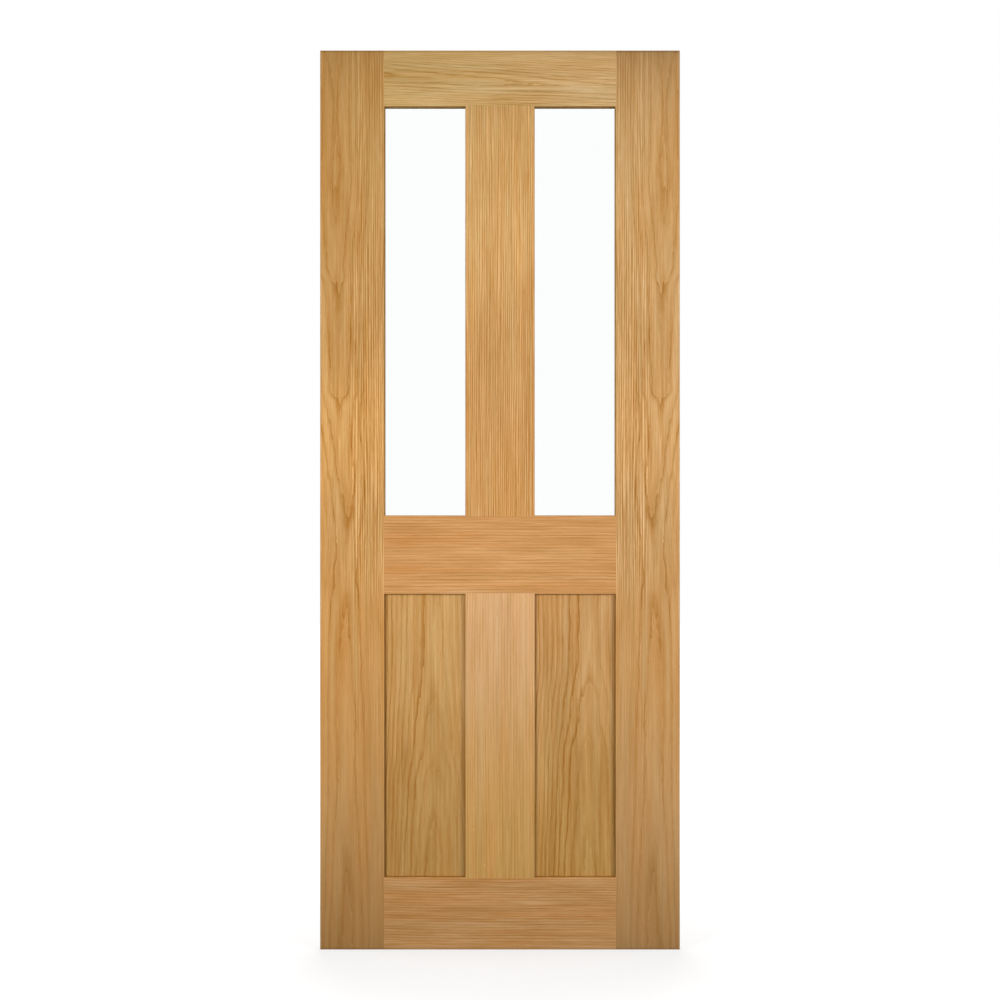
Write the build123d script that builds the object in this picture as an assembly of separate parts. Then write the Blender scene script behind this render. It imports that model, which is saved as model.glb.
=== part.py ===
"""Oak door leaf with two tall panes over two flat panels, in millimetres.

X runs across the leaf from its hinge edge, Y through its thickness with the front at -Y, and Z up from its
bottom edge. The origin is at the foot of the hinge edge, halfway through the thickness.

Two stiles run the full height. Three rails fit between them and two mullions fit between the rails. A groove
runs all round the inside of the frame. It holds the lower panels, and stub tongues on the rails and the lower
mullion fill the rest of it. Round the glass its rear cheek is cut away, so the front cheek becomes a lip that
the pane beds against, and mitred beads close the rebate from behind. Every inner arris is rounded, and each
member that ends on one is scribed over it.
"""

import os
from typing import NamedTuple

from build123d import *

# Leaf, a standard 80 by 32 inch size
LEAF_WIDTH = 813
LEAF_HEIGHT = 2032
LEAF_THICKNESS = 35

# Frame members, by the width that shows on the face
STILE_WIDTH = 146
MULLION_WIDTH = 157
TOP_RAIL_HEIGHT = 126
LOCK_RAIL_HEIGHT = 178
BOTTOM_RAIL_HEIGHT = 163
PANEL_OPENING_HEIGHT = 640

# Groove and glazing rebate
GROOVE_WIDTH = 13
GROOVE_DEPTH = 10
ARRIS = 2
MULLION_TENON_LENGTH = 22
MULLION_TENON_SHOULDER = 30

# Solid lipping let in behind the face veneers of each outer edge
LIPPING_DEPTH = 8
VENEER = 0.6
EDGE_ARRIS = 1

# Infill
PANEL_GAP = 1
GLASS_THICKNESS = 4
GLASS_GAP = 2
TAPE_THICKNESS = 1
TAPE_SETBACK = 1.5
BEAD_RECESS = 1.5

# Places worked out from the sizes above
FRONT = -LEAF_THICKNESS / 2
BACK = LEAF_THICKNESS / 2
GROOVE = (-GROOVE_WIDTH / 2, GROOVE_WIDTH / 2)
REBATE = (-GROOVE_WIDTH / 2, BACK)
STILE_FACE = STILE_WIDTH
MULLION_FACE = (LEAF_WIDTH - MULLION_WIDTH) / 2
PANEL_BOTTOM = BOTTOM_RAIL_HEIGHT
PANEL_TOP = PANEL_BOTTOM + PANEL_OPENING_HEIGHT
GLASS_BOTTOM = PANEL_TOP + LOCK_RAIL_HEIGHT
GLASS_TOP = LEAF_HEIGHT - TOP_RAIL_HEIGHT
GLASS_FRONT = GROOVE[0] + TAPE_THICKNESS
GLASS_BACK = GLASS_FRONT + GLASS_THICKNESS
BEAD_FRONT = GLASS_BACK + TAPE_THICKNESS
BEAD_BACK = BACK - BEAD_RECESS
MIDDLE = Plane.YZ.offset(LEAF_WIDTH / 2)
TOUCH = 1e-3


class Opening(NamedTuple):
    """A rectangular opening in the frame, seen from the front."""

    left: float
    right: float
    bottom: float
    top: float

    def grown(self, by):
        return Opening(self.left - by, self.right + by, self.bottom - by, self.top + by)

    def corners(self):
        return [
            (self.left, self.bottom),
            (self.right, self.bottom),
            (self.right, self.top),
            (self.left, self.top),
        ]

    def slab(self, front, back):
        return block((self.left, self.right), (front, back), (self.bottom, self.top))


LEFT_LIGHT = Opening(STILE_FACE, MULLION_FACE, GLASS_BOTTOM, GLASS_TOP)
LEFT_FIELD = Opening(STILE_FACE, MULLION_FACE, PANEL_BOTTOM, PANEL_TOP)


def block(x, y, z):
    """Box between two limits on each axis."""
    sizes = [high - low for low, high in (x, y, z)]
    return Pos(x[0], y[0], z[0]) * Box(*sizes, align=(Align.MIN, Align.MIN, Align.MIN))


def mirrored(part):
    """The same piece on the other side of the leaf's middle."""
    return mirror(part, about=MIDDLE)


def both_sides(part):
    """A cutter together with its mirror image."""
    return [part, mirrored(part)]


def eased(part, radius, axis, **place):
    """Rounds the edges along one axis that lie at the given X, Y or Z."""

    def lies_there(edge):
        centre = edge.center()
        return all(abs(getattr(centre, letter) - value) < TOUCH for letter, value in place.items())

    return fillet(part.edges().filter_by(axis).filter_by(lies_there), radius)


def left_stile():
    """Veneered stile, grooved inside, rebated beside the glass and let in for the lipping outside."""
    full_height = (0, LEAF_HEIGHT)
    groove_span = (STILE_FACE - GROOVE_DEPTH, STILE_FACE)
    rebate_height = (GLASS_BOTTOM - GROOVE_DEPTH, GLASS_TOP + GROOVE_DEPTH)
    stile = block((0, STILE_FACE), (FRONT, BACK), full_height)
    stile -= block(groove_span, GROOVE, full_height)
    stile = eased(stile, ARRIS, Axis.Z, X=STILE_FACE, Y=FRONT)
    stile = eased(stile, ARRIS, Axis.Z, X=STILE_FACE, Y=BACK)
    stile = eased(stile, EDGE_ARRIS, Axis.Z, X=0, Y=FRONT)
    stile = eased(stile, EDGE_ARRIS, Axis.Z, X=0, Y=BACK)
    stile -= block(groove_span, REBATE, rebate_height)
    return stile - block((0, LIPPING_DEPTH), (FRONT + VENEER, BACK - VENEER), full_height)


def left_lipping():
    """Solid strip between the veneers of the outer edge."""
    lipping = block((0, LIPPING_DEPTH), (FRONT, BACK), (0, LEAF_HEIGHT))
    lipping = eased(lipping, EDGE_ARRIS, Axis.Z, X=0, Y=FRONT)
    lipping = eased(lipping, EDGE_ARRIS, Axis.Z, X=0, Y=BACK)
    return lipping & block((0, LIPPING_DEPTH), (FRONT + VENEER, BACK - VENEER), (0, LEAF_HEIGHT))


def rail(bottom, top, tongue, stiles):
    """Plain rail between the stiles, with a stub tongue at each end and its ends scribed to the stiles."""
    span = (STILE_FACE - ARRIS, LEAF_WIDTH - STILE_FACE + ARRIS)
    tongue_span = (STILE_FACE - GROOVE_DEPTH, LEAF_WIDTH - STILE_FACE + GROOVE_DEPTH)
    blank = block(span, (FRONT, BACK), (bottom, top)) - stiles
    return blank + block(tongue_span, GROOVE, tongue)


def edge_channel(depth, y):
    """Cutter along a rail's edge, longer than any rail."""
    return block((0, LEAF_WIDTH), y, depth)


def mullion_mortise(z):
    """Mortise in a rail for an upper mullion's tenon."""
    shoulder = MULLION_FACE + MULLION_TENON_SHOULDER
    return block((shoulder, LEAF_WIDTH - shoulder), GROOVE, z)


def top_rail(stiles):
    seat = GLASS_TOP + GROOVE_DEPTH
    part = rail(GLASS_TOP, LEAF_HEIGHT, (seat, LEAF_HEIGHT), stiles)
    part -= edge_channel((GLASS_TOP, seat), REBATE)
    part -= mullion_mortise((seat, seat + MULLION_TENON_LENGTH))
    return eased(part, ARRIS, Axis.X, Y=FRONT, Z=GLASS_TOP)


def lock_rail(stiles):
    seat = GLASS_BOTTOM - GROOVE_DEPTH
    groove_floor = PANEL_TOP + GROOVE_DEPTH
    part = rail(PANEL_TOP, GLASS_BOTTOM, (groove_floor, seat), stiles)
    part -= edge_channel((seat, GLASS_BOTTOM), REBATE)
    part -= edge_channel((PANEL_TOP, groove_floor), GROOVE)
    part -= mullion_mortise((seat - MULLION_TENON_LENGTH, seat))
    part = eased(part, ARRIS, Axis.X, Y=FRONT, Z=GLASS_BOTTOM)
    part = eased(part, ARRIS, Axis.X, Y=FRONT, Z=PANEL_TOP)
    return eased(part, ARRIS, Axis.X, Y=BACK, Z=PANEL_TOP)


def bottom_rail(stiles):
    groove_floor = PANEL_BOTTOM - GROOVE_DEPTH
    part = rail(0, PANEL_BOTTOM, (0, groove_floor), stiles)
    part -= edge_channel((groove_floor, PANEL_BOTTOM), GROOVE)
    part = eased(part, ARRIS, Axis.X, Y=FRONT, Z=PANEL_BOTTOM)
    return eased(part, ARRIS, Axis.X, Y=BACK, Z=PANEL_BOTTOM)


def upper_mullion(rails):
    """Mullion between the panes, with its rear shoulders a rebate's depth longer than its front ones."""
    foot = GLASS_BOTTOM - GROOVE_DEPTH
    head = GLASS_TOP + GROOVE_DEPTH
    side_rebate = block((MULLION_FACE, MULLION_FACE + GROOVE_DEPTH), REBATE, (foot, head))
    part = block((MULLION_FACE, LEAF_WIDTH - MULLION_FACE), (FRONT, BACK), (foot, head))
    part = eased(part, ARRIS, Axis.Z, X=MULLION_FACE, Y=FRONT)
    part = eased(part, ARRIS, Axis.Z, X=LEAF_WIDTH - MULLION_FACE, Y=FRONT)
    part -= [*both_sides(side_rebate), *rails]
    return part + mullion_mortise((foot - MULLION_TENON_LENGTH, head + MULLION_TENON_LENGTH))


def lower_mullion(rails):
    """Mullion between the panels, grooved on both sides and tongued into the rails."""
    groove_floor = MULLION_FACE + GROOVE_DEPTH
    side_groove = block((MULLION_FACE, groove_floor), GROOVE, (0, LEAF_HEIGHT))
    scribed = (PANEL_BOTTOM - ARRIS, PANEL_TOP + ARRIS)
    tongued = (PANEL_BOTTOM - GROOVE_DEPTH, PANEL_TOP + GROOVE_DEPTH)
    part = block((MULLION_FACE, LEAF_WIDTH - MULLION_FACE), (FRONT, BACK), scribed)
    for side in (MULLION_FACE, LEAF_WIDTH - MULLION_FACE):
        for face in (FRONT, BACK):
            part = eased(part, ARRIS, Axis.Z, X=side, Y=face)
    part -= [*both_sides(side_groove), *rails]
    return part + block((groove_floor, LEAF_WIDTH - groove_floor), GROOVE, tongued)


def left_panel():
    """Flat panel as thick as the groove, free to move by the gap at its edges."""
    return LEFT_FIELD.grown(GROOVE_DEPTH - PANEL_GAP).slab(*GROOVE)


def left_glass():
    return LEFT_LIGHT.grown(GROOVE_DEPTH - GLASS_GAP).slab(GLASS_FRONT, GLASS_BACK)


def left_tape():
    """Bedding tape on both faces of the pane, kept back from the sight line."""
    outline = LEFT_LIGHT.grown(GROOVE_DEPTH - GLASS_GAP)
    clear = LEFT_LIGHT.grown(TAPE_SETBACK).slab(FRONT, BACK)
    layers = (GROOVE[0], GLASS_FRONT), (GLASS_BACK, BEAD_FRONT)
    return Compound([outline.slab(*layer) - clear for layer in layers])


def left_beads():
    """Four mitred beads round the left pane, by the side they close."""
    sight = LEFT_LIGHT.corners()
    seat = LEFT_LIGHT.grown(GROOVE_DEPTH).corners()
    arris_lines = {
        "bottom": (Axis.X, {"Z": GLASS_BOTTOM}),
        "right": (Axis.Z, {"X": MULLION_FACE}),
        "top": (Axis.X, {"Z": GLASS_TOP}),
        "left": (Axis.Z, {"X": STILE_FACE}),
    }
    beads = {}
    for start, (side, (axis, line)) in enumerate(arris_lines.items()):
        end = (start + 1) % len(sight)
        outline = [sight[start], sight[end], seat[end], seat[start]]
        face = make_face(Polyline([(x, BEAD_FRONT, z) for x, z in outline], close=True))
        bar = extrude(face, amount=BEAD_BACK - BEAD_FRONT, dir=(0, 1, 0))
        beads[side] = eased(bar, ARRIS, axis, Y=BEAD_BACK, **line)
    return beads


def build():
    """Every piece of the leaf, by node name."""
    stile = left_stile()
    stiles = [stile, mirrored(stile)]
    rails = {"top_rail": top_rail(stiles), "lock_rail": lock_rail(stiles), "bottom_rail": bottom_rail(stiles)}
    pieces = {
        **rails,
        "upper_mullion": upper_mullion([rails["top_rail"], rails["lock_rail"]]),
        "lower_mullion": lower_mullion([rails["lock_rail"], rails["bottom_rail"]]),
    }
    left_pieces = {
        "stile": stile,
        "edge_lipping": left_lipping(),
        "panel": left_panel(),
        "glass": left_glass(),
        "glazing_tape": left_tape(),
    }
    for name, part in left_pieces.items():
        pieces[f"left_{name}"] = part
        pieces[f"right_{name}"] = mirrored(part)
    swapped = {"left": "right", "right": "left"}
    for side, bead in left_beads().items():
        pieces[f"left_pane_{side}_bead"] = bead
        pieces[f"right_pane_{swapped.get(side, side)}_bead"] = mirrored(bead)
    return pieces


os.makedirs("parts", exist_ok=True)
for node, piece in build().items():
    export_step(piece, f"parts/{node}.step")
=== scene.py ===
"""Looks of the oak door leaf: lacquered wood with each board's own figure, clear glass, light and camera.

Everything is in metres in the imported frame: X across the leaf, the front at -Y, Z up. The wood is worked out
in millimetres from the same place, so each board's grain is solid and runs on round its edges.
"""

import math
from dataclasses import dataclass, field

import bpy
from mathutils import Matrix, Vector

MM_PER_METRE = 1000.0

# Sizes of the leaf and places on it, in millimetres
LEAF_WIDTH = 813
LEAF_HEIGHT = 2032
LEAF_THICKNESS = 35
LEFT_STILE_EDGE = 146
LEFT_MULLION_EDGE = 328
RIGHT_MULLION_EDGE = 485
RIGHT_STILE_EDGE = 667
PANEL_BOTTOM = 163
PANEL_TOP = 803
PANE_BOTTOM = 981
PANE_TOP = 1906

# Distance in the noise between boards whose seeds differ by one
SEED_STEP = 37.0

# Growth rings: the width that their heart drifts over and the length that this takes, in millimetres, how much
# quicker its depth passes a whole ring, how far arches are drawn to a point, and how far rings waver and ripple
DRIFT_WIDTH = 12
DRIFT_LENGTH = 420
CRISP_TIPS = 0.11
POINTED = 0.085
WAVER = 0.5
RIPPLE = 0.45

# One ring, in shares of its width: where it sets in, where its outline and its porous wood fade, and where its
# late wood sets in and fades
RING_START = (0.0, 0.05)
OUTLINE_FADE = (0.06, 0.24)
POROUS_FADE = (0.06, 0.5)
LATE_START = (0.5, 1.0)
LATE_FADE = (0.94, 1.0)

# How strong the faintest ring is, and between which places aside of the heart, in rings, a one-sided board's
# rings weaken
FAINTEST_RING = 0.4
FAR_SIDE = (-7.0, 1.0)

# Rings seen edge on: their spacing in millimetres, and how many spacings they wander over
LINE_PITCH = 5.2
LINE_WANDER = 3.2

# Width and length in millimetres of the noise behind each mark in the wood
WAVER_SIZE = (16, 150)
RIPPLE_SIZE = (7, 36)
BREAK_SIZE = (6, 60)
WANDER_SIZE = (20, 600)
SWELL_SIZE = (5, 60)
STREAK_WIDTH = 6.0
PATCH_SIZE = (30, 260)
FIBRE_SIZE = (1.2, 30)
PORE_SIZE = (0.45, 9)
FLECK_SIZE = (9, 14)
HUE_SIZE = (22, 380)

# Detail and roughness of the noise behind streaks and fibres, which is ragged, and detail of smooth noise
RAGGED = (3.0, 0.6)
SMOOTH = 1.0

# Levels of the noise between which outlines break off, rings seen edge on swell, and pores and flecks set in
BREAK_LEVELS = (-0.15, 0.12)
SWELL_LEVELS = (-0.2, 0.2)
PORE_LEVELS = (0.08, 0.2)
FLECK_LEVELS = (0.25, 0.34)

# What is left of an outline where it breaks off, how faint and how full rings seen edge on become, and how
# dense pores are in plain wood and how much denser in porous wood
BROKEN_OUTLINE = 0.1
FAINT_LINES = 0.05
FULL_LINES = 1.15
PLAIN_PORES = 0.25
RING_PORES = 0.8

# How strongly each mark darkens the wood, and all of them together
LATE_STRENGTH = 0.08
FIBRE_STRENGTH = 0.4
PATCH_STRENGTH = 0.55
PORE_STRENGTH = 0.15
FIGURE_STRENGTH = 0.66

# Wood colours, written as they should look under plain light, and where between them plain wood lies
PALE_WOOD = (0.937, 0.752, 0.5)
DARK_WOOD = (0.567, 0.327, 0.08)
PLAIN_WOOD = 0.37

# The two tints that the wood's hue drifts between, and how far it swings
WARM_TINT = (1.03, 0.985, 0.93)
COOL_TINT = (0.97, 1.015, 1.07)
HUE_SWING = 2.4

# Tint of the painted shade in corners and on the walls of the openings
NO_TINT = (1, 1, 1)
PAINTED_SHADE_TINT = (1.0, 0.92, 0.62)

# How much painted shade darkens the wood on those walls and in those corners, how much darker it is along the
# leaf's top and foot, and how much paler a painted highlight makes an arris
PAINTED_WALL_SHADE = 0.5
PAINTED_CORNER_SHADE = 0.2
RIM_DARKENING = 0.22
PAINTED_ARRIS_HIGHLIGHT = 0.25

# Where the rims at top and foot set in, by distance from mid-height, and where the painted shade in corners
# fades, by distance from the frame, in millimetres
RIM_START = (1010.0, 1014.0)
CORNER_SHADE_FADE = (0.6, 3.2)

# How squarely a surface faces front or back on an arris that gets a painted highlight, and how squarely a cut
# end faces along the board
ARRIS_HIGHLIGHT_START = (0.82, 0.9)
ARRIS_HIGHLIGHT_FADE = (0.95, 0.995)
END_START = (0.9, 0.97)

# Cut ends, in tones and millimetres. The stiles' core has upright staves, with dark glue between them and under
# the veneers
END_TONE = 1.05
STAVE_WIDTH = 27
STAVE_VARIETY = 0.25
GLUE_TONE = 0.5
GLUE_SHARE = 0.03
VENEER_GLUE_PLACE = 16.9
VENEER_GLUE_FADE = (0.1, 0.3)

# Roughness of the lacquer, and how much rougher fibres, pores and the walls of the openings are
LACQUER_ROUGHNESS = 0.5
FIBRE_ROUGHNESS = 0.1
PORE_ROUGHNESS = 0.12
WALL_ROUGHNESS = 0.4

# Relief of the surface: its height in metres, its strength, and the share that each mark has in it
RELIEF_HEIGHT = 0.0003
RELIEF_STRENGTH = 0.35
FIBRE_RELIEF = 0.3
PORE_RELIEF = 0.6
POROUS_RELIEF = 0.15

# Light from all round that falls on the leaf
AMBIENT = 0.15

# Floor, in metres. It glows less within DIM_REACH of the leaf, so that the leaf's shadow shows
FLOOR_REACH = 12
FLOOR_LEVEL = -0.0005
DIM_REACH = 0.35
GLOW_REACH = 1.5
DIM_GLOW = 0.66

# Grey of the floor, and a darker one for the light that it throws back
FLOOR_GREY = (0.3, 0.3, 0.3)
BOUNCED_GREY = (0.1, 0.1, 0.1)

# Camera, square on to the middle of the front: distance and width of view in metres, sensor in millimetres
CAMERA_DISTANCE = 4.6
VIEW_WIDTH = 2.2605
SENSOR_WIDTH = 36


def metres(size):
    """A size in millimetres, in metres."""
    return size / MM_PER_METRE


def linear(colour):
    """Linear light of a colour written as it shows on screen."""
    return tuple(((c + 0.055) / 1.055) ** 2.4 if c > 0.04045 else c / 12.92 for c in colour)


class Value:
    """A node's output that can be written in sums."""

    def __init__(self, nodes, socket):
        self.nodes = nodes
        self.socket = socket

    def math(self, operation, *others):
        return self.nodes.math(operation, self, *others)

    def __add__(self, other):
        return self.math("ADD", other)

    def __sub__(self, other):
        return self.math("SUBTRACT", other)

    def __rsub__(self, other):
        return self.nodes.math("SUBTRACT", other, self)

    def __mul__(self, other):
        return self.math("MULTIPLY", other)

    def __truediv__(self, other):
        return self.math("DIVIDE", other)

    __radd__ = __add__
    __rmul__ = __mul__


class Nodes:
    """Adds nodes to one material or world and links them."""

    def __init__(self, tree):
        self.tree = tree
        tree.nodes.clear()

    def add(self, kind, inputs=None, **settings):
        node = self.tree.nodes.new("ShaderNode" + kind)
        for name, setting in settings.items():
            setattr(node, name, setting)
        for name, value in (inputs or {}).items():
            self.feed(node.inputs[name], value)
        return node

    def feed(self, socket, value):
        """Links a node's output to the socket, or sets the socket to a constant."""
        if isinstance(value, Value):
            self.tree.links.new(value.socket, socket)
        else:
            socket.default_value = value

    def value(self, node, output=0):
        return Value(self, node.outputs[output])

    def math(self, operation, *values):
        return self.value(self.add("Math", dict(enumerate(values)), operation=operation))

    def vector(self, x, y, z):
        return self.value(self.add("CombineXYZ", {"X": x, "Y": y, "Z": z}))

    def scaled(self, vector, factor):
        return self.value(self.add("VectorMath", {0: vector, "Scale": factor}, operation="SCALE"))

    def times(self, vector, other):
        return self.value(self.add("VectorMath", {0: vector, 1: other}, operation="MULTIPLY"))

    def noise(self, vector, detail=2.0, roughness=0.5):
        """Cloudy noise about one unit across, from about -0.5 to 0.5."""
        settings = {"Vector": vector, "Scale": 1.0, "Detail": detail, "Roughness": roughness}
        return self.value(self.add("TexNoise", settings)) - 0.5

    def random(self, value):
        """A number from 0 to 1 that is fixed for each value given."""
        return self.value(self.add("TexWhiteNoise", {"W": value}, noise_dimensions="1D"), "Value")

    def span(self, value, low, high, start=0.0, end=1.0):
        """Smooth step from start at low to end at high."""
        limits = {"Value": value, 1: low, 2: high, 3: start, 4: end}
        return self.value(self.add("MapRange", limits, interpolation_type="SMOOTHSTEP"))

    def fade(self, value, low, high):
        """Smooth step from 1 at low to 0 at high."""
        return self.span(value, low, high, start=1.0, end=0.0)

    def curve(self, value, points):
        """A smooth curve through (place, value) points."""
        places, heights = zip(*points)
        low, rise = min(heights), (max(heights) - min(heights)) or 1.0
        start, length = places[0], places[-1] - places[0]
        node = self.add("FloatCurve", {"Value": (value - start) / length})
        line = node.mapping.curves[0]
        shares = [((place - start) / length, (height - low) / rise) for place, height in points]
        line.points[0].location = shares[0]
        line.points[1].location = shares[-1]
        for share in shares[1:-1]:
            line.points.new(*share)
        node.mapping.update()
        return self.value(node) * rise + low

    def mix(self, share, first, second):
        """The first colour where the share is 0, the second where it is 1."""
        node = self.tree.nodes.new("ShaderNodeMix")
        node.data_type = "RGBA"
        for name, value in {"Factor": share, "A": (*first, 1), "B": (*second, 1)}.items():
            socket = next(s for s in node.inputs if s.name == name and s.enabled)
            self.feed(socket, value)
        return self.value(node, next(i for i, s in enumerate(node.outputs) if s.enabled))

    def as_light(self, colour):
        """Linear light of a colour mixed as it shows on screen."""
        return self.value(self.add("Gamma", {"Color": colour, "Gamma": 2.2}))

    def finish(self, shader):
        """Makes this shader the material's surface."""
        self.add("OutputMaterial", {"Surface": self.value(shader)})


def new_material(name):
    material = bpy.data.materials.new(name)
    material.use_nodes = True
    return material, Nodes(material.node_tree)


def level(value):
    """A curve with the same value all along the board."""
    return [(0, value), (1, value)]


@dataclass
class Board:
    """How one piece of wood was cut, in millimetres.

    The growth rings stand round a line, the heart, that runs along the board beneath its face. Where the heart
    sinks or rises the rings close in arches. Curves are lists of (place, value), and places along a board are
    heights, or distances across the leaf.
    """

    # Axes that the board runs along and across, and curves of the heart's place across it and depth in rings
    along: str
    across: str
    heart: list
    depth: list

    # Width of a ring, seed of the board's own noise, and whether its figure is mirrored across the leaf
    ring: float = 5.0
    seed: float = 0.0
    mirrored: bool = False

    # Tint where the curve of the heart starts and, if it differs, where that ends, and curves of how bright the
    # wood is, partly painted shade where the light falls off, and how strong its figure is
    tint: tuple = (1.0, 1.0, 1.0)
    far_tint: tuple = None
    tone: list = field(default_factory=lambda: level(1))
    contrast: list = field(default_factory=lambda: level(1))

    # Curve of how dark rings seen edge on are, and the places across the board between which they set in
    lines: list = field(default_factory=lambda: level(0.25))
    lined_from: tuple = (-2000.0, -1000.0)

    # How strongly the rings' outlines, their porous wood and the streaks darken the wood, how long streaks are,
    # and how strongly flecks lighten it
    outline_strength: float = 0.2
    porous_strength: float = 0.3
    streak_strength: float = 0.7
    streak_length: float = 200.0
    fleck_strength: float = 0.0

    # How much weaker the rings are where they stand steep, and past the heart
    steep_fade: float = 0.0
    one_sided: float = 0.0

    # Left, right, bottom and top of the opening that holds the board, whose corners get painted shade, and
    # whether its core is built of staves
    framed: tuple = ()
    staved: bool = False

    # How strong the painted shade on its walls in the openings is, and how squarely a surface faces front or
    # back where that painted shade is full and where it has gone
    inside: float = 1.0
    wall_shade_fade: tuple = (0.5, 0.8)

    # Specular level of its lacquer
    shine: float = 0.2


class Timber:
    """Places in one board's wood, in millimetres, and the marks that its growth leaves there."""

    def __init__(self, nodes, board):
        place = nodes.scaled(nodes.value(nodes.add("TexCoord"), "Object"), MM_PER_METRE)
        parts = nodes.add("SeparateXYZ", {0: place})
        axes = {letter: nodes.value(parts, letter) for letter in "XYZ"}
        if board.mirrored:
            axes["X"] = LEAF_WIDTH - axes["X"]
        self.nodes = nodes
        self.board = board
        self.along = axes[board.along]
        self.across = axes[board.across]
        self.through = axes[next(letter for letter in "YXZ" if letter not in (board.along, board.across))]
        self.seed = board.seed * SEED_STEP
        self.outline, self.porous, self.late = self.rings()
        self.fibre = self.grain(*FIBRE_SIZE, *RAGGED)
        open_grain = nodes.span(self.grain(*PORE_SIZE, SMOOTH), *PORE_LEVELS)
        self.pores = open_grain * (self.porous * RING_PORES + PLAIN_PORES)

    def grain(self, width, length, detail=2.0, roughness=0.5):
        """Noise in streaks of this width and length."""
        across = self.across / width
        along = self.along / length
        through = self.through / width + self.seed
        return self.nodes.noise(self.nodes.vector(across, along, through), detail, roughness)

    def radius(self):
        """Distance from the heart in rings, how far aside of it this is, and how steep the rings stand."""
        nodes, board = self.nodes, self.board
        place = nodes.vector(self.along / DRIFT_LENGTH, self.seed, 0.0)
        drift = nodes.noise(place, SMOOTH) * DRIFT_WIDTH
        offset = (self.across - nodes.curve(self.along, board.heart) + drift) / board.ring
        depth = nodes.curve(self.along, board.depth) + (self.through + LEAF_THICKNESS / 2) / board.ring
        depth = depth + nodes.math("SINE", depth * math.tau) * CRISP_TIPS
        radius = nodes.math("SQRT", nodes.math("POWER", offset, 2.0) + nodes.math("POWER", depth, 2.0))
        aside = nodes.math("ABSOLUTE", offset)
        return radius + aside * POINTED, offset, aside / radius

    def rings(self):
        """Dark outline at the start of each ring, the porous wood behind it, and the late wood at its end."""
        nodes, board = self.nodes, self.board
        radius, offset, steepness = self.radius()
        wavy = radius + self.grain(*WAVER_SIZE) * WAVER + self.grain(*RIPPLE_SIZE) * RIPPLE
        year = nodes.math("FLOOR", wavy)
        share = nodes.math("FRACT", wavy)
        strength = nodes.random(year + self.seed) * (1.0 - FAINTEST_RING) + FAINTEST_RING
        strength = strength * (1.0 - steepness * board.steep_fade)
        strength = strength * (1.0 - nodes.span(offset, *FAR_SIDE) * board.one_sided)
        broken = nodes.span(self.grain(*BREAK_SIZE), *BREAK_LEVELS, start=BROKEN_OUTLINE)
        start = nodes.span(share, *RING_START)
        outline = start * nodes.fade(share, *OUTLINE_FADE) * strength * broken
        porous = start * nodes.fade(share, *POROUS_FADE) * strength
        late = nodes.span(share, *LATE_START) * nodes.fade(share, *LATE_FADE)
        return outline, porous, late

    def fine_lines(self):
        """Narrow rings seen edge on: parallel lines that wander, and fade in and out."""
        nodes, board = self.nodes, self.board
        phase = self.across / LINE_PITCH + self.grain(*WANDER_SIZE) * LINE_WANDER
        swell = nodes.span(self.grain(*SWELL_SIZE), *SWELL_LEVELS, start=FAINT_LINES, end=FULL_LINES)
        placed = nodes.span(self.across, *board.lined_from) * nodes.curve(self.along, board.lines)
        return nodes.math("SINE", phase * math.tau) * swell * placed

    def darkness(self):
        """How dark the wood is, from 0 for the pale wood colour to 1 for the dark one."""
        nodes, board = self.nodes, self.board
        streak = self.grain(STREAK_WIDTH, board.streak_length, *RAGGED)
        patch = self.grain(*PATCH_SIZE)
        figure = self.outline * board.outline_strength + self.porous * board.porous_strength
        figure = figure + self.late * LATE_STRENGTH + streak * board.streak_strength
        figure = figure + self.fibre * FIBRE_STRENGTH + patch * PATCH_STRENGTH
        marks = figure * nodes.curve(self.along, board.contrast) + self.fine_lines()
        dark = (marks + self.pores * PORE_STRENGTH) * FIGURE_STRENGTH + PLAIN_WOOD
        if board.fleck_strength:
            fleck = nodes.span(self.grain(*FLECK_SIZE, SMOOTH), *FLECK_LEVELS)
            dark = dark - fleck * board.fleck_strength
        return dark


def tint_of(nodes, board, timber):
    """Tint from the board's near end to its far end."""
    if board.far_tint is None:
        return board.tint
    near, far = board.heart[0][0], board.heart[-1][0]
    return nodes.mix(nodes.span(timber.along, near, far), board.tint, board.far_tint)


def wood_colour(nodes, board, timber):
    """Colour of the bare wood, with its slow drift of hue and the board's tint."""
    colour = nodes.as_light(nodes.mix(timber.darkness(), PALE_WOOD, DARK_WOOD))
    coolness = timber.grain(*HUE_SIZE) * HUE_SWING + 0.5
    colour = nodes.times(colour, nodes.mix(coolness, WARM_TINT, COOL_TINT))
    return nodes.times(colour, tint_of(nodes, board, timber))


def facing(nodes, letter):
    """How squarely the surface faces along one axis, from 0 to 1."""
    normal = nodes.add("SeparateXYZ", {0: nodes.value(nodes.add("NewGeometry"), "Normal")})
    return nodes.math("ABSOLUTE", nodes.value(normal, letter))


def wall_shade_and_highlight(nodes, board, timber):
    """How far a place is on the wall of an opening, and its tone.

    There it is darkened with painted shade; the wood is also darker along the leaf's top and foot, and a
    painted highlight makes an arris paler.
    """
    squareness = facing(nodes, "Y")
    height = timber.along if board.along == "Z" else timber.across
    rim = nodes.span(nodes.math("ABSOLUTE", height - LEAF_HEIGHT / 2), *RIM_START)
    # Painted shade on the walls of the openings, fading out over the arris
    inside = nodes.fade(squareness, *board.wall_shade_fade) * (1.0 - rim) * board.inside
    # Painted highlight on the arris between the front or back and the walls
    arris_highlight = nodes.span(squareness, *ARRIS_HIGHLIGHT_START) * nodes.fade(squareness, *ARRIS_HIGHLIGHT_FADE)
    tone = (1.0 - inside * PAINTED_WALL_SHADE) * (arris_highlight * PAINTED_ARRIS_HIGHLIGHT + 1.0)
    return inside, tone * (1.0 - rim * RIM_DARKENING)


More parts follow.
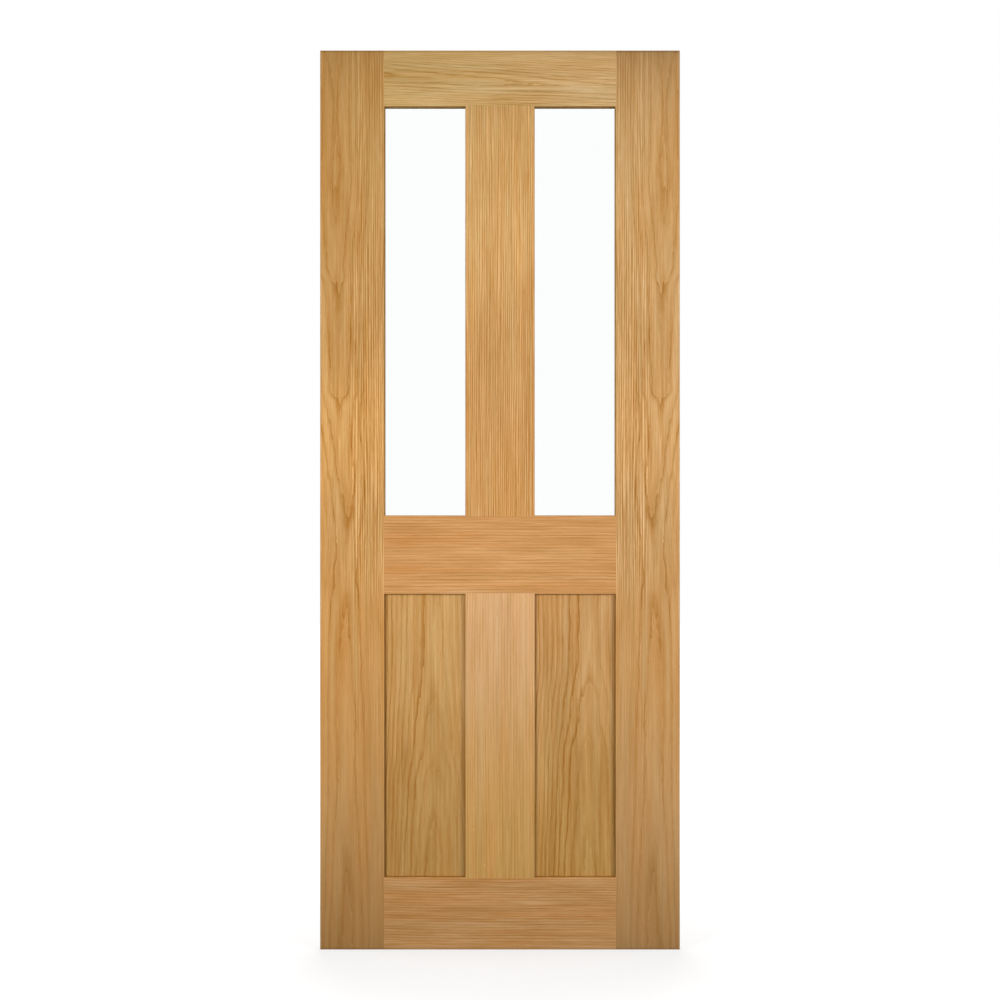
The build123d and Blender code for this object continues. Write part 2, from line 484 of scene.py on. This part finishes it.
def corner_shade_mask(nodes, board, timber):
    """How far a place on a framed board is into the corner with its frame, for the painted shade there."""
    if not board.framed:
        return 0.0
    left, right, bottom, top = board.framed
    aside = nodes.math("MINIMUM", timber.across - left, right - timber.across)
    upright = nodes.math("MINIMUM", timber.along - bottom, top - timber.along)
    return nodes.fade(nodes.math("MINIMUM", aside, upright), *CORNER_SHADE_FADE)


def ends(nodes, board, timber):
    """Tone of cut ends, which show the staves and veneers of a board that is built up."""
    cut = nodes.span(facing(nodes, board.along), *END_START)
    tone = END_TONE
    if board.staved:
        stave = timber.across / STAVE_WIDTH
        from_glue = nodes.math("ABSOLUTE", nodes.math("ABSOLUTE", timber.through) - VENEER_GLUE_PLACE)
        glue = nodes.span(nodes.math("FRACT", stave), 0.0, GLUE_SHARE, start=GLUE_TONE)
        glue = glue * nodes.span(from_glue, *VENEER_GLUE_FADE, start=GLUE_TONE)
        tone = (nodes.random(nodes.math("FLOOR", stave) + timber.seed) * STAVE_VARIETY + 1.0) * glue
    return 1.0 - cut * (1.0 - tone)


def with_tone_and_painted_light(nodes, board, timber, colour):
    """A wood colour with the board's tone curve, its cut ends, painted shade on walls and in corners and a
    painted highlight on arrises, and how far the place is on the wall of an opening.
    """
    inside, shade_and_highlight = wall_shade_and_highlight(nodes, board, timber)
    corner_shade = corner_shade_mask(nodes, board, timber)
    colour = nodes.times(colour, nodes.mix(inside + corner_shade, NO_TINT, PAINTED_SHADE_TINT))
    tone = nodes.curve(timber.along, board.tone) * shade_and_highlight * ends(nodes, board, timber)
    return nodes.scaled(colour, tone * (1.0 - corner_shade * PAINTED_CORNER_SHADE)), inside


def oak(name, board):
    """Lacquered oak cut as the board says."""
    material, nodes = new_material(name)
    timber = Timber(nodes, board)
    colour, inside = with_tone_and_painted_light(nodes, board, timber, wood_colour(nodes, board, timber))
    rough = LACQUER_ROUGHNESS + timber.fibre * FIBRE_ROUGHNESS + timber.pores * PORE_ROUGHNESS
    relief = timber.fibre * FIBRE_RELIEF - timber.pores * PORE_RELIEF - timber.porous * POROUS_RELIEF
    bump = nodes.add("Bump", {"Height": relief, "Strength": RELIEF_STRENGTH, "Distance": RELIEF_HEIGHT})
    wood = {
        "Base Color": colour,
        "Roughness": rough + inside * WALL_ROUGHNESS,
        "Normal": nodes.value(bump),
        "Specular IOR Level": board.shine,
    }
    nodes.finish(nodes.add("BsdfPrincipled", wood))
    return material


# What both stiles share. An arch has its tip where the depth of the heart comes to a whole number of rings
STILE = dict(
    heart=[
        (0, 59), (400, 59), (780, 57), (985, 61), (1235, 44), (1500, 43), (1560, 34), (1760, 36), (2032, 28),
    ],
    depth=[
        (0, 34.8), (160, 35.0), (420, 35.5), (774, 36.0), (880, 36.25), (978, 36.0), (1238, 35.0), (1290, 34.4),
        (1491, 34.0), (1547, 33.6), (1699, 33.0), (1765, 32.92), (1828, 33.0), (1932, 33.0), (2032, 32.5),
    ],
    contrast=[(0, 0.7), (700, 0.9), (950, 1.35), (1500, 1.3), (1800, 1.2), (2032, 1.1)],
    lines=[
        (0, 0.03), (300, 0.07), (750, 0.13), (900, 0.4), (1150, 0.45), (1400, 0.43), (1700, 0.27), (2032, 0.22),
    ],
    lined_from=(52.0, 85.0),
    outline_strength=0.27,
    streak_strength=0.55,
    steep_fade=1.6,
    staved=True,
    wall_shade_fade=(0.88, 0.99),
)

# What both panels share
PANEL = dict(
    contrast=level(1.05),
    lines=level(0.03),
    streak_length=260.0,
    one_sided=0.6,
)

# What all glazing beads share
BEAD = dict(
    depth=level(20),
    tint=(1.0, 1.05, 1.3),
    inside=1.1,
    shine=0.0,
)

# Tone curves here are partly painted shade: lower towards the foot, and on the stiles towards the top too
BOARDS = {
    "left_stile": Board(
        along="Z",
        across="X",
        tint=(0.96, 0.97, 1.09),
        far_tint=(0.965, 1.015, 1.11),
        tone=[
            (0, 0.73), (300, 0.925), (790, 1.02), (960, 0.99), (1150, 1.11), (1400, 0.965), (1790, 1.05),
            (2032, 0.905),
        ],
        **STILE,
    ),
    "right_stile": Board(
        along="Z",
        across="X",
        mirrored=True,
        tint=(0.99, 1.04, 1.3),
        far_tint=(1.0, 1.11, 1.46),
        tone=[
            (0, 0.74), (300, 0.92), (700, 0.97), (960, 0.955), (1150, 1.05), (1350, 1.0), (1780, 1.12),
            (2032, 0.74),
        ],
        **STILE,
    ),
    "top_rail": Board(
        along="X",
        across="Z",
        heart=[(145, 1978), (668, 1943)],
        depth=[(145, 24.0), (466, 25.0), (668, 25.4)],
        ring=3.0,
        seed=3,
        tint=(1.14, 1.42, 1.86),
        far_tint=(1.22, 1.53, 2.32),
        contrast=level(0.94),
        lines=level(0.1),
        outline_strength=0.35,
        streak_length=150.0,
    ),
    "lock_rail": Board(
        along="X",
        across="Z",
        heart=level(600),
        depth=level(20),
        ring=7.0,
        seed=4,
        tint=(1.02, 1.01, 1.27),
        contrast=level(0.84),
        lines=level(0.1),
        streak_length=130.0,
    ),
    "bottom_rail": Board(
        along="X",
        across="Z",
        heart=[(0, -160), (LEAF_WIDTH, -170)],
        depth=level(20),
        ring=6.0,
        seed=5,
        tint=(1.02, 1.04, 1.33),
        contrast=level(0.93),
        lines=level(0.08),
        streak_strength=0.85,
        streak_length=130.0,
    ),
    "upper_mullion": Board(
        along="Z",
        across="X",
        heart=[(PANE_BOTTOM, 150), (PANE_TOP, 165)],
        depth=level(20),
        seed=6,
        tint=(0.99, 1.0, 1.16),
        far_tint=(1.03, 1.155, 1.45),
        tone=[(1100, 1.01), (1330, 1.0), (1720, 1.2), (1900, 1.13)],
        contrast=level(0.8),
        lines=level(0.28),
        streak_length=130.0,
    ),
    "lower_mullion": Board(
        along="Z",
        across="X",
        heart=[(PANEL_BOTTOM, 700), (PANEL_TOP, 700)],
        depth=level(60),
        seed=7,
        tint=(1.08, 1.15, 1.19),
        far_tint=(1.04, 1.17, 1.83),
        tone=[(PANEL_BOTTOM, 0.95), (483, 1.0), (PANEL_TOP, 1.13)],
        contrast=level(0.6),
        lines=level(0.05),
        streak_strength=0.9,
        streak_length=180.0,
        fleck_strength=0.25,
    ),
    "left_panel": Board(
        along="Z",
        across="X",
        heart=[(PANEL_BOTTOM, 258), (PANEL_TOP, 253)],
        depth=[(PANEL_BOTTOM, 35.5), (328, 36.0), (414, 36.8), (518, 37.6), (680, 38.2), (PANEL_TOP, 38.6)],
        seed=8,
        tint=(1.0, 1.065, 1.11),
        far_tint=(1.02, 1.1, 1.31),
        tone=[(PANEL_BOTTOM, 0.89), (360, 0.875), (500, 0.93), (PANEL_TOP, 0.985)],
        outline_strength=0.16,
        porous_strength=0.42,
        streak_strength=0.75,
        framed=(LEFT_STILE_EDGE, LEFT_MULLION_EDGE, PANEL_BOTTOM, PANEL_TOP),
        **PANEL,
    ),
    "right_panel": Board(
        along="Z",
        across="X",
        heart=[(PANEL_BOTTOM, 608), (PANEL_TOP, 606)],
        depth=[(PANEL_BOTTOM, 35.6), (300, 36.0), (428, 36.5), (530, 37.2), (620, 37.9), (PANEL_TOP, 38.4)],
        seed=9,
        tint=(0.99, 1.04, 1.02),
        far_tint=(1.01, 1.07, 1.36),
        tone=[(PANEL_BOTTOM, 0.905), (483, 0.92), (PANEL_TOP, 0.97)],
        outline_strength=0.18,
        porous_strength=0.45,
        streak_strength=0.8,
        framed=(RIGHT_MULLION_EDGE, RIGHT_STILE_EDGE, PANEL_BOTTOM, PANEL_TOP),
        **PANEL,
    ),
    "edge_lipping": Board(
        along="Z",
        across="Y",
        heart=[(0, 60), (LEAF_HEIGHT, 80)],
        depth=[(0, 20), (LEAF_HEIGHT, 22)],
        seed=10,
        tint=(1.03, 1.08, 1.35),
        inside=0.0,
    ),
    "upright_bead": Board(along="Z", across="X", heart=level(60), seed=11, **BEAD),
    "level_bead": Board(along="X", across="Z", heart=level(1400), seed=12, **BEAD),
}


def clear_glass():
    """Clear float glass that lets lamps through to what is behind it."""
    material, nodes = new_material("clear_glass")
    look = {
        "Base Color": (0.97, 0.99, 0.98, 1),
        "Roughness": 0.0,
        "IOR": 1.45,
        "Transmission Weight": 1.0,
    }
    glass = nodes.value(nodes.add("BsdfPrincipled", look))
    clear = nodes.value(nodes.add("BsdfTransparent", {"Color": (0.95, 0.97, 0.96, 1)}))
    shadow = nodes.value(nodes.add("LightPath"), "Is Shadow Ray")
    nodes.finish(nodes.add("MixShader", {0: shadow, 1: glass, 2: clear}))
    return material


def foam_tape():
    """Closed-cell foam, cream, with fine cells."""
    material, nodes = new_material("glazing_tape")
    place = nodes.value(nodes.add("TexCoord"), "Object")
    cells = nodes.value(nodes.add("TexVoronoi", {"Vector": place, "Scale": 2500.0}), "Distance")
    shade = nodes.mix(cells, linear((0.8, 0.76, 0.68)), linear((0.6, 0.56, 0.48)))
    bump = nodes.value(nodes.add("Bump", {"Height": cells, "Strength": 0.4, "Distance": 0.0002}))
    nodes.finish(nodes.add("BsdfPrincipled", {"Base Color": shade, "Roughness": 0.85, "Normal": bump}))
    return material


def give(piece, material):
    piece.data.materials.clear()
    piece.data.materials.append(material)


def board_of(name):
    """Which board a wooden node is cut from."""
    if name in BOARDS:
        return name
    if name.endswith("edge_lipping"):
        return "edge_lipping"
    if name.endswith(("left_bead", "right_bead")):
        return "upright_bead"
    return "level_bead"


def dress(pieces):
    """Gives every piece of the leaf its material."""
    woods = {name: oak(name + "_oak", board) for name, board in BOARDS.items()}
    glass = clear_glass()
    tape = foam_tape()
    for name, piece in pieces.items():
        if name.endswith("_glass"):
            give(piece, glass)
        elif name.endswith("_tape"):
            give(piece, tape)
        else:
            give(piece, woods[board_of(name)])


def seen_directly(nodes):
    """1 for what the camera sees, and 0 for light that falls on a surface.

    What shows through glass or in a reflection counts as seen by the camera.
    """
    path = nodes.add("LightPath")
    camera_ray, glossy, through_glass = (
        nodes.value(path, f"Is {kind} Ray") for kind in ("Camera", "Glossy", "Transmission")
    )
    scattered = nodes.math("MINIMUM", nodes.value(path, "Diffuse Depth"), 1.0)
    return nodes.math("MINIMUM", camera_ray + glossy + through_glass, 1.0) * (1.0 - scattered)


def surroundings():
    """White to the camera and in reflections, and a softer light on the leaf itself."""
    world = bpy.data.worlds.new("studio")
    bpy.context.scene.world = world
    world.use_nodes = True
    nodes = Nodes(world.node_tree)
    strength = seen_directly(nodes) * (1.0 - AMBIENT) + AMBIENT
    background = nodes.add("Background", {"Color": (1, 1, 1, 1), "Strength": strength})
    nodes.add("OutputWorld", {"Surface": nodes.value(background)})


def floor_material():
    """Pale floor that glows white to the camera, less so near the leaf, where its soft shadow falls."""
    material, nodes = new_material("studio_floor")
    place = nodes.value(nodes.add("TexCoord"), "Object")
    foot = (metres(LEAF_WIDTH / 2), 0, 0)
    away = nodes.value(nodes.add("VectorMath", {0: place, 1: foot}, operation="DISTANCE"), "Value")
    strength = seen_directly(nodes) * nodes.span(away, DIM_REACH, GLOW_REACH, start=DIM_GLOW)
    glow = nodes.value(nodes.add("Emission", {"Strength": strength}))
    bounced = nodes.value(nodes.add("LightPath"), "Is Diffuse Ray")
    matt = nodes.value(nodes.add("BsdfDiffuse", {"Color": nodes.mix(bounced, FLOOR_GREY, BOUNCED_GREY)}))
    nodes.finish(nodes.add("AddShader", {0: glow, 1: matt}))
    return material


def floor():
    """Studio floor under the leaf."""
    mesh = bpy.data.meshes.new("floor")
    signs = [(-1, -1), (1, -1), (1, 1), (-1, 1)]
    corners = [(x * FLOOR_REACH, y * FLOOR_REACH, FLOOR_LEVEL) for x, y in signs]
    mesh.from_pydata(corners, [], [(0, 1, 2, 3)])
    piece = bpy.data.objects.new("floor", mesh)
    bpy.context.scene.collection.objects.link(piece)
    give(piece, floor_material())


def lamp(name, place, aim, size, power):
    """A softbox that lights the leaf but isn't seen itself, through the glass or in it."""
    light = bpy.data.lights.new(name, "AREA")
    light.shape = "SQUARE"
    light.size = size
    light.energy = power
    piece = bpy.data.objects.new(name, light)
    piece.location = place
    piece.rotation_euler = (Vector(aim) - Vector(place)).to_track_quat("-Z", "Y").to_euler()
    piece.visible_camera = False
    piece.visible_glossy = False
    piece.visible_transmission = False
    bpy.context.scene.collection.objects.link(piece)


def lamps():
    """Softboxes in front of the leaf, beside it, above it and behind it, in metres and watts."""
    centre = metres(LEAF_WIDTH / 2)
    middle = (centre, 0, 1.05)
    low = (centre, 0, 0.7)
    lamp("left_softbox", (-0.54, -1.7, 1.1), middle, size=0.45, power=23)
    lamp("right_softbox", (1.9, -1.5, 1.1), middle, size=1.1, power=25)
    lamp("left_edge_softbox", (-2.2, 0.35, 1.1), middle, size=1.2, power=30)
    lamp("right_edge_softbox", (3.0, 0.35, 1.1), middle, size=1.2, power=20)
    lamp("top_softbox", (centre, 0, 3.6), middle, size=0.6, power=15)
    lamp("rear_left_softbox", (-0.2, 3.4, 2.5), low, size=1.4, power=60)
    lamp("rear_right_softbox", (1.0, 3.4, 2.5), low, size=1.4, power=60)


def camera():
    """Camera in front of the leaf's middle, looking straight at it."""
    data = bpy.data.cameras.new("camera")
    data.sensor_width = SENSOR_WIDTH
    data.lens = SENSOR_WIDTH * CAMERA_DISTANCE / VIEW_WIDTH
    piece = bpy.data.objects.new("camera", data)
    front = -metres(LEAF_THICKNESS / 2)
    piece.location = (metres(LEAF_WIDTH / 2), front - CAMERA_DISTANCE, metres(LEAF_HEIGHT / 2))
    piece.rotation_euler = (math.radians(90), 0, 0)
    bpy.context.scene.collection.objects.link(piece)
    bpy.context.scene.camera = piece


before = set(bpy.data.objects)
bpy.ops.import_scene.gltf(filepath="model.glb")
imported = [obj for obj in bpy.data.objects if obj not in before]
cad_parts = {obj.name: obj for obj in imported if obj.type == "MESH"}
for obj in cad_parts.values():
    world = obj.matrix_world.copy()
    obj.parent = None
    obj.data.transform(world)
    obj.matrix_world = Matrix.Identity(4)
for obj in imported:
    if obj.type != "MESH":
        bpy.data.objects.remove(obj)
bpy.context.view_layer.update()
bpy.context.scene.view_settings.view_transform = "Standard"
dress(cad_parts)
surroundings()
floor()
lamps()
camera()
